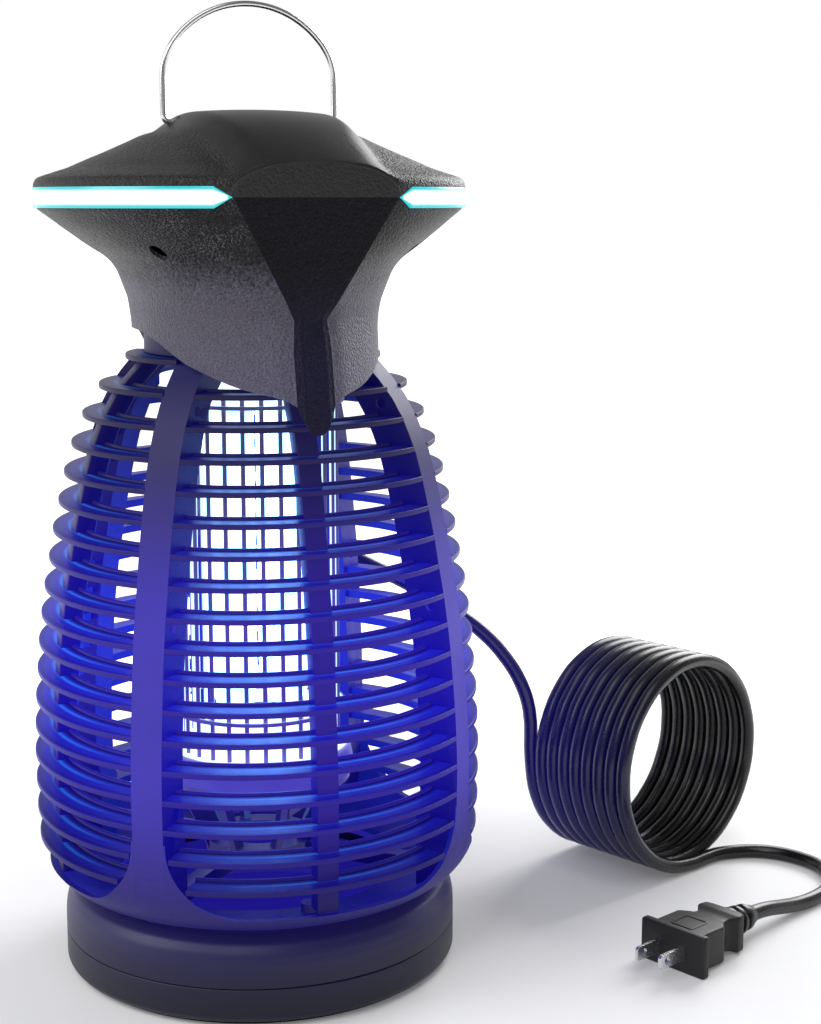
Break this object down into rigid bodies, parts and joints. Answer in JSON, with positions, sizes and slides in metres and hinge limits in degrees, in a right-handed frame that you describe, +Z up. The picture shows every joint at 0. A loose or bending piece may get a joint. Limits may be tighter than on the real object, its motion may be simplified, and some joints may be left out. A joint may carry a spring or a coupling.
{
  "type": "electric bug zapper",
  "caption": "Electric insect zapper lantern: finned cage round a rod grid and ultraviolet lamp, lens-shaped head with light bands and wire bail, pull-off tray, mains cord and plug.",
  "frame": {"origin": "centre of the foot ring's underside, where the lantern stands", "axes": "+Z up along the lantern's axis; -Y is the front, towards the pointed facet without the cord; the bail's feet are on X"},
  "size_m": [0.3844, 0.2489, 0.4123],
  "materials": {
    "head_black": "moulded black plastic with a fine leather-like grain",
    "light_diffuser": "milky light guide, lit cool white with a cyan edge",
    "circuit_board": "green lacquered board",
    "plated_screw": "zinc-plated steel",
    "bush_plastic": "dark acetal",
    "polished_wire": "polished steel wire",
    "transformer_core": "taped coil on a laminated core",
    "capacitor_case": "dipped film capacitor",
    "switch_black": "glossy black",
    "switch_rocker": "glossy red rocker",
    "cage_plastic": "satin dark navy plastic",
    "grille_plastic": "satin dark navy plastic, lit blue from within",
    "white_plastic": "heat-resistant white plastic",
    "lamp_glass": "ultraviolet lamp tube, lit pale blue",
    "grid_steel": "bright drawn steel rod",
    "wire_red": "insulated lead",
    "base_plastic": "satin dark navy plastic",
    "foot_rubber": "black rubber",
    "cord_jacket": "black vinyl jacket, slightly glossy",
    "plug_plastic": "black moulded vinyl",
    "plated_blade": "nickel-plated blades"
  },
  "bodies": {
    "lantern": {"head_top_cover": "head_black", "head_lower_shell": "head_black", "light_band_left": "light_diffuser", "light_band_right": "light_diffuser", "led_board_left": "circuit_board", "led_board_right": "circuit_board", "head_screws": "plated_screw", "bail_bushes": "bush_plastic", "power_board": "circuit_board", "transformer": "transformer_core", "capacitors": "capacitor_case", "switch_housing": "switch_black", "cage_frame": "cage_plastic", "grille_front": "grille_plastic", "grille_right": "grille_plastic", "grille_rear": "grille_plastic", "grille_left": "grille_plastic", "cage_screws": "plated_screw", "neck_plate": "cage_plastic", "lamp_socket": "white_plastic", "lamp_base": "white_plastic", "lamp_tubes": "lamp_glass", "grid_top_holder": "white_plastic", "grid_live": "grid_steel", "grid_neutral": "grid_steel", "grid_bottom_holder": "white_plastic", "lamp_support": "cage_plastic", "inner_wires": "wire_red", "base_collar": "base_plastic", "base_screws": "plated_screw", "cord_gland": "cord_jacket", "cord_lead": "cord_jacket", "cord_coil": "cord_jacket", "cord_tail": "cord_jacket", "plug_relief": "cord_jacket", "plug_body": "plug_plastic", "plug_blades": "plated_blade"},
    "bail": {"bail_handle": "polished_wire"},
    "tray": {"collection_tray": "base_plastic", "foot_ring": "foot_rubber"},
    "rocker": {"switch_rocker": "switch_rocker"}
  },
  "joints": [
    {"name": "bail_swing", "type": "hinge", "parent": "lantern", "child": "bail", "pos_m": [0, 0, 0.3625], "axis": [1, 0, 0], "range_deg": [-80, 80]},
    {"name": "tray_pull", "type": "slide", "parent": "lantern", "child": "tray", "axis": [0, 0, -1], "range_m": [0, 0.07]},
    {"name": "switch_rock", "type": "hinge", "parent": "lantern", "child": "rocker", "pos_m": [0, 0.0811, 0.317], "axis": [1, 0, 0], "range_deg": [0, 14]}
  ]
}
